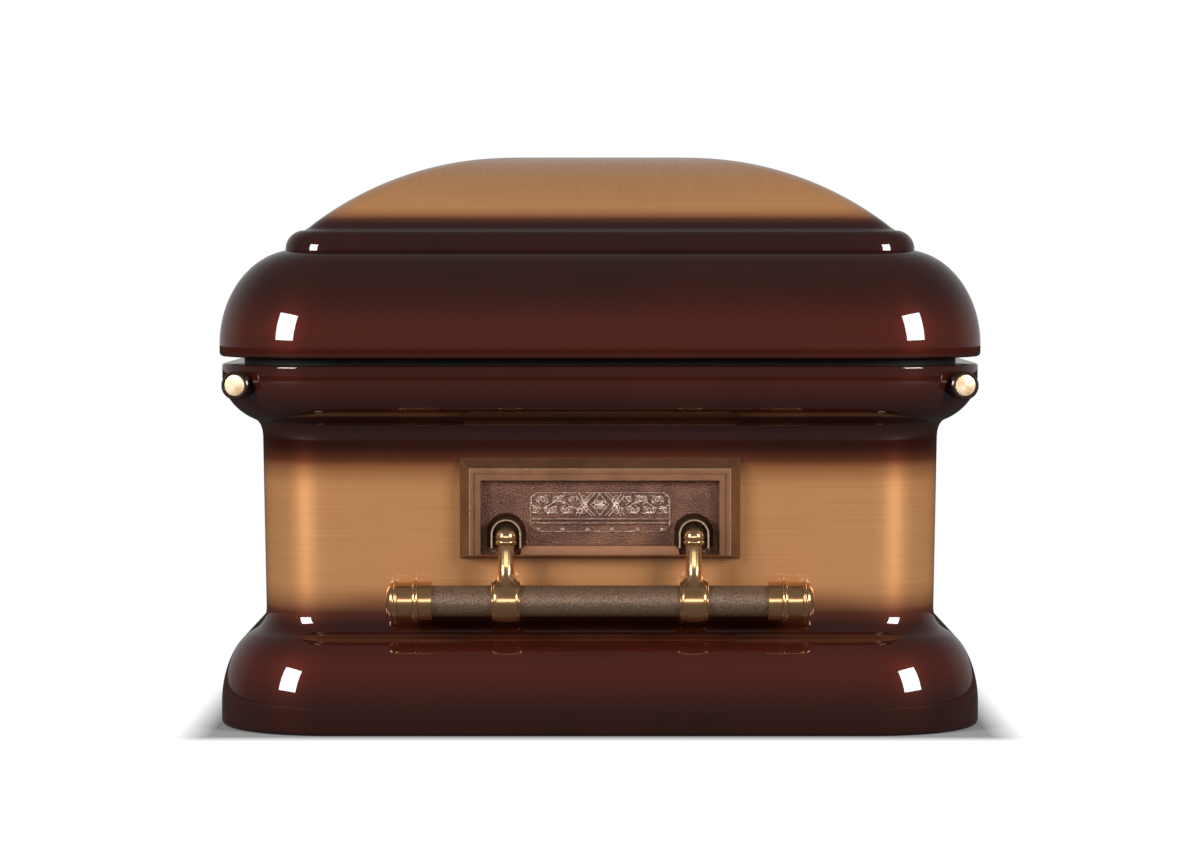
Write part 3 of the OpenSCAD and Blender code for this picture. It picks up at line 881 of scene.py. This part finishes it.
def make_plate(k):
    """One handle plate: frame, hoods and ledge in smooth bronze, with the panel's height field inside."""
    hood_verts, hood_faces, hood_slots = hood_part()
    panel_verts, panel_faces, rub = PANEL_MESH
    frame_verts, frame_faces, frame_slots = frame_part()
    parts = [(frame_verts, frame_faces, IDENTITY, frame_slots), (*ledge_part(), IDENTITY, FRAME_SLOT)]
    for side in HANDS.values():
        across = Matrix.Translation((side * ARM_SPACING / 2 * MM, 0, 0))
        parts.append((hood_verts, hood_faces, across, hood_slots))
    smooth_verts, smooth_faces, slots = merge(parts)
    start = len(smooth_verts)
    verts = smooth_verts + panel_verts
    faces = smooth_faces + [tuple(start + i for i in f) for f in panel_faces]
    name = STATIONS[k] + "_handle_plate"
    # the lip and shade slots carry a painted highlight and a painted shade
    obj = new_object(name + "_casting", verts, faces, [FRAME, PANEL, PAINTED_LIP_HIGHLIGHT, PAINTED_SHADE_BRASS], "casket")
    obj.data.polygons.foreach_set("material_index", slots + [PANEL_SLOT] * len(panel_faces))
    close_up(obj, PLATE_SHARP)
    point_attribute(obj, "rub", np.concatenate([np.zeros(start), rub]))
    obj.matrix_world = station_matrix(k)
    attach(obj, "casket")
    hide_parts(name)
    HARDWARE.objects.link(obj)
    return obj


# ---------------------------------------------------------------- arms, bar and caps

def shaft_profile():
    """Ball, collar and flaring shaft."""
    profile = arc((0, 0), (BALL_R, BALL_R), 90, -6, 18)
    profile[0] = (0, BALL_R)
    profile += arc((BALL_R - 1.9, -5), (2.4, 2.3), 58, -62, 10)
    profile += [(8.3, -7.6), (7.9, -9.5), (7.7, -14), (NECK_R, -19), (NECK_R, -FLARE_FROM)]
    return profile


def saddle(segments):
    """Flare from the shaft's foot onto the sleeve, running smoothly into its curve all round."""
    feet = []
    for a in np.radians(np.arange(segments) * 360 / segments):
        reach = FOOT_R + FOOT_LONGER * math.sin(a) ** 2
        x, y = reach * math.cos(a), reach * math.sin(a)
        sleeve = SLEEVE_R + SLEEVE_SWELL * math.sqrt(max(0, 1 - (x / (SLEEVE_W / 2)) ** 2)) - 0.15
        drop = math.sqrt(sleeve ** 2 - y ** 2)
        slope = reach * math.sin(a) ** 2 / drop
        foot = ARM_LEN - drop
        start, pull = (NECK_R, FLARE_FROM), (NECK_R, foot - slope * (reach - NECK_R))
        column = [start] + bezier(start, pull, (reach, foot), 14)
        feet.append([(r * math.cos(a) * MM, r * math.sin(a) * MM, -depth * MM) for r, depth in column])
    n = segments
    rows = [list(row) for row in zip(*feet)]
    rows.append([(0, 0, -(ARM_LEN - GRIP_R - 0.4) * MM)] * n)
    faces = [(k * n + i, k * n + (i + 1) % n, (k + 1) * n + (i + 1) % n, (k + 1) * n + i)
             for k in range(len(rows) - 1) for i in range(n)]
    return [v for row in rows for v in row], faces


def sleeve_profile():
    """Sleeve round the bar: thin end flanges and a swelling middle."""
    half = SLEEVE_W / 2
    flange = [(GRIP_R + 0.05, half - 0.2), (GRIP_R + 0.4, half), (SLEEVE_R - 0.3, half)]
    flange += [(SLEEVE_R + 0.2, half - 0.4), (SLEEVE_R + 0.2, half - 1.2), (SLEEVE_R - 0.2, half - 1.7)]
    angles = np.linspace(1.45, -1.45, 20)
    swell = [(SLEEVE_R + SLEEVE_SWELL * math.cos(t), (half - 1.9) * math.sin(t)) for t in angles]
    profile = flange + swell + [(r, -z) for r, z in flange[::-1]]
    return profile + profile[:1]


def cap_profile():
    """Two plain bands, a bead between them, a fine ring and a domed end."""
    seat = CAP_LEN - 8.5
    profile = [(0, seat), (GRIP_R + 0.05, seat), (GRIP_R + 0.05, 0.2), (GRIP_R + 0.5, 0), (CAP_R - 0.6, 0)]
    profile += [(CAP_R - 0.15, 0.15), (CAP_R, 0.6)]
    profile += [(CAP_R, 12.0), (CAP_R - 0.5, 12.6), (CAP_R - 0.4, 12.9)]
    profile += arc((CAP_R - 0.2, 15.6), (1.5, 2.4), -78, 78, 12)
    profile += [(CAP_R - 0.6, 18.4), (CAP_R - 0.4, 19.0)]
    profile += [(CAP_R - 0.4, CAP_LEN - 12), (CAP_R - 0.8, CAP_LEN - 11.6)]
    profile += arc((CAP_R - 0.5, CAP_LEN - 9.8), (0.95, 1.5), -80, 80, 8)
    profile += arc((7, CAP_LEN - 8), (CAP_R - 7.6, 8), 0, 90, 14)
    return profile + [(0, CAP_LEN)]


def make_swinging(k):
    """Everything that turns with one bar."""
    station = STATIONS[k]
    body = station + "_handle"
    matrix = station_matrix(k) @ HANGING
    lower = Matrix.Translation((0, 0, -ARM_LEN * MM))
    reach = BAR_LEN / 2 - BAR_SHORT
    bar_profile = [(0, -reach)] + [(GRIP_R, z) for z in np.linspace(-reach, reach, 40)] + [(0, reach)]
    bar = [(*lathe(bar_profile, 72), lower @ ALONG_X, 0)]
    casting(station + "_bar_grip", bar, [GRIP], matrix, body, station + "_handle_bar")
    for hand, side in HANDS.items():
        across = Matrix.Translation((side * ARM_SPACING / 2 * MM, 0, 0))
        parts = [(*lathe(shaft_profile(), 64), across, 0), (*saddle(64), across, 0)]
        parts.append((*lathe(sleeve_profile(), 72), across @ lower @ ALONG_X, 0))
        casting(f"{station}_arm_{hand}", parts, [BRASS], matrix, body,
                f"{station}_handle_arm_{hand}")
        start = Matrix.Translation((side * (BAR_LEN / 2 - CAP_LEN) * MM, 0, 0))
        turn = Matrix.Rotation(math.radians(side * 90), 4, "Y")
        cap = [(*lathe(cap_profile(), 72), lower @ start @ turn, 0)]
        casting(f"{station}_cap_{hand}", cap, [BRASS], matrix, body,
                f"{station}_handle_cap_{hand}")


for k in range(4):
    make_plate(k)
    make_swinging(k)


# ---------------------------------------------------------------- corner studs and carried-over CAD nodes

STUD_INSET, STUD_SETBACK, STUD_Z, STUD_SPLAY = 22, 25, 331, 15
DISC_R, DISC_SEAT = 10.4, 2.6


def make_disc(end, end_sign, hand, side):
    """Spun disc in the face of one corner stud, its axis along the object's own Z."""
    profile = [(0, -DISC_SEAT), (DISC_R, -DISC_SEAT), (DISC_R, -1.2), (DISC_R - 0.5, -0.65)]
    profile += [(r, -0.6 + 0.4 * (1 - (r / (DISC_R - 0.5)) ** 2)) for r in np.linspace(DISC_R - 0.9, 0, 24)]
    turn = side * STUD_SPLAY if end_sign < 0 else 180 - side * STUD_SPLAY
    place = Matrix.Translation((side * (HALF_W - STUD_INSET) * MM, end_sign * (HALF_L - STUD_SETBACK) * MM,
                                STUD_Z * MM))
    matrix = place @ Matrix.Rotation(math.radians(turn), 4, "Z") @ OUTWARD
    casting(f"disc_{end}_{hand}", [(*lathe(profile, 72), IDENTITY, 0)], [SPUN], matrix, "casket",
            f"stud_disc_{end}_{hand}", keep_axes=True)


for end, end_sign in (("front", -1), ("back", 1)):
    for hand, side in HANDS.items():
        make_disc(end, end_sign, hand, side)


def finish_node(node, material):
    """Gives a carried-over CAD node its material."""
    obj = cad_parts[node]
    obj.data.materials.clear()
    obj.data.materials.append(material)


finish_node("lid_gasket", RUBBER)
for end in ("front", "back"):
    for hand in HANDS:
        finish_node(f"corner_stud_{end}_{hand}", STUD)
# the hinge pins sit in the hoods' shade, painted with the near-black brass
for station in STATIONS:
    for hand in HANDS:
        finish_node(f"{station}_handle_pin_{hand}", PAINTED_SHADE_BRASS)


# ---------------------------------------------------------------- floor, light, camera

FLOOR_R = 14
PAINTED_SHADOW_GREY = 0.55
FLOOR_FADE = 0.032
FLOOR_BOUNCE = 0.16


def make_floor():
    """Pale floor with a soft shadow near the casket, white further out: the lamps' real shadow falls on a
    grey that is itself a painted shadow, fading with distance from the footprint.
    """
    bpy.ops.mesh.primitive_circle_add(vertices=96, radius=FLOOR_R, fill_type="NGON", location=(0, 0, 0))
    floor = bpy.context.object
    floor.name = "studio_floor"
    material, tree, shader = new_material("studio_floor")
    shader.inputs["Base Color"].default_value = (PAINTED_SHADOW_GREY, PAINTED_SHADOW_GREY, PAINTED_SHADOW_GREY, 1)
    shader.inputs["Roughness"].default_value = 0.9
    shader.inputs["Specular IOR Level"].default_value = 0.0
    point = tree.nodes.new("ShaderNodeTexCoord").outputs["Object"]
    footprint = (HALF_W * MM, HALF_L * MM, 0)
    steps = [("ABSOLUTE", None), ("SUBTRACT", footprint), ("MAXIMUM", (0, 0, 0)), ("LENGTH", None)]
    for operation, value in steps:
        step = tree.nodes.new("ShaderNodeVectorMath")
        step.operation = operation
        tree.links.new(point, step.inputs[0])
        if value:
            step.inputs[1].default_value = value
        point = step.outputs["Value" if operation == "LENGTH" else "Vector"]
    # painted contact shadow: lit grey within FLOOR_FADE of the footprint, white emission beyond
    away = remap(tree, point, 0.0, FLOOR_FADE, 0.0, 1)
    white = tree.nodes.new("ShaderNodeEmission")
    white.inputs["Color"].default_value = (1, 1, 1, 1)
    white.inputs["Strength"].default_value = 1.0
    grey = add(tree, "ShaderNodeBsdfDiffuse")
    grey.inputs["Color"].default_value = (FLOOR_BOUNCE, FLOOR_BOUNCE, FLOOR_BOUNCE, 1)
    seen = tree.nodes.new("ShaderNodeMixShader")
    tree.links.new(away, seen.inputs[0])
    tree.links.new(shader.outputs[0], seen.inputs[1])
    tree.links.new(white.outputs[0], seen.inputs[2])
    path = tree.nodes.new("ShaderNodeLightPath")
    blend = tree.nodes.new("ShaderNodeMixShader")
    tree.links.new(path.outputs["Is Camera Ray"], blend.inputs[0])
    tree.links.new(grey.outputs[0], blend.inputs[1])
    tree.links.new(seen.outputs[0], blend.inputs[2])
    tree.links.new(blend.outputs[0], tree.nodes["Material Output"].inputs["Surface"])
    floor.data.materials.append(material)


ROOM_LIGHT = 0.12
BACKDROP_LIGHT = 0.39
AIM_HEIGHT = 0.25


def softbox(name, azimuth, elevation, distance, size, power):
    """A rectangular soft light aimed at the front end's middle. Azimuth 0 is straight in front of it."""
    a, e = math.radians(azimuth), math.radians(elevation)
    target = Vector((0, -HALF_L * MM, AIM_HEIGHT))
    offset = Vector((math.sin(a) * math.cos(e), -math.cos(a) * math.cos(e), math.sin(e))) * distance
    data = bpy.data.lights.new(name, "AREA")
    data.shape = "RECTANGLE"
    data.size, data.size_y = size
    data.energy = power
    light = bpy.data.objects.new(name, data)
    light.location = target + offset
    light.rotation_euler = (-offset).to_track_quat("-Z", "Y").to_euler()
    bpy.context.scene.collection.objects.link(light)
    return light


def make_world():
    """White to the camera; to everything it lights a dim room with a bright backdrop behind the casket."""
    world = bpy.data.worlds.new("studio")
    world.use_nodes = True
    tree = world.node_tree
    tree.nodes.clear()
    direction = tree.nodes.new("ShaderNodeTexCoord").outputs["Generated"]
    split = tree.nodes.new("ShaderNodeSeparateXYZ")
    tree.links.new(direction, split.inputs[0])
    behind = remap(tree, split.outputs[1], 0.2, 0.95, 0, 1)
    low = remap(tree, split.outputs[2], 0.30, 0.95, 1, 0)
    level = mix_value(tree, math_node(tree, "MULTIPLY", behind, low), ROOM_LIGHT, BACKDROP_LIGHT)
    soft = add(tree, "ShaderNodeBackground")
    soft.inputs["Color"].default_value = (1, 1, 1, 1)
    tree.links.new(level, soft.inputs["Strength"])
    white = add(tree, "ShaderNodeBackground", Strength=1.0)
    white.inputs["Color"].default_value = (1, 1, 1, 1)
    path = tree.nodes.new("ShaderNodeLightPath")
    blend = tree.nodes.new("ShaderNodeMixShader")
    output = tree.nodes.new("ShaderNodeOutputWorld")
    tree.links.new(path.outputs["Is Camera Ray"], blend.inputs[0])
    tree.links.new(soft.outputs[0], blend.inputs[1])
    tree.links.new(white.outputs[0], blend.inputs[2])
    tree.links.new(blend.outputs[0], output.inputs["Surface"])
    bpy.context.scene.world = world


KEY_AZIMUTH, KEY_HEIGHT, KEY_DISTANCE = 52, 18, 2.6
KEY_SIZE = (0.82, 1.02)
KEY_POWER = 42
STRIP_HEIGHT, STRIP_DISTANCE = 6, 2.4
STRIP_SIZE = (2.6, 0.46)
STRIP_POWER = 16
CAMERA_DISTANCE = 3.49
CAMERA_HEIGHT = 0.459
CAMERA_PITCH = 2.8
CAMERA_LENS = 111.4
CAMERA_SENSOR = 36


def make_camera():
    """Square on to the front end, a little above the lid's rim, looking slightly down."""
    data = bpy.data.cameras.new("camera")
    data.sensor_width = CAMERA_SENSOR
    data.lens = CAMERA_LENS
    camera = bpy.data.objects.new("camera", data)
    camera.location = (0, -HALF_L * MM - CAMERA_DISTANCE, CAMERA_HEIGHT)
    camera.rotation_euler = (math.radians(90 - CAMERA_PITCH), 0, 0)
    bpy.context.scene.collection.objects.link(camera)
    bpy.context.scene.camera = camera


make_floor()
make_world()
for side, name in ((-1, "left"), (1, "right")):
    softbox("key_" + name, side * KEY_AZIMUTH, KEY_HEIGHT, KEY_DISTANCE, KEY_SIZE, KEY_POWER)
strip = softbox("hardware_strip", 0, STRIP_HEIGHT, STRIP_DISTANCE, STRIP_SIZE, STRIP_POWER)
strip.light_linking.receiver_collection = HARDWARE
make_camera()
bpy.context.scene.view_settings.view_transform = "Standard"
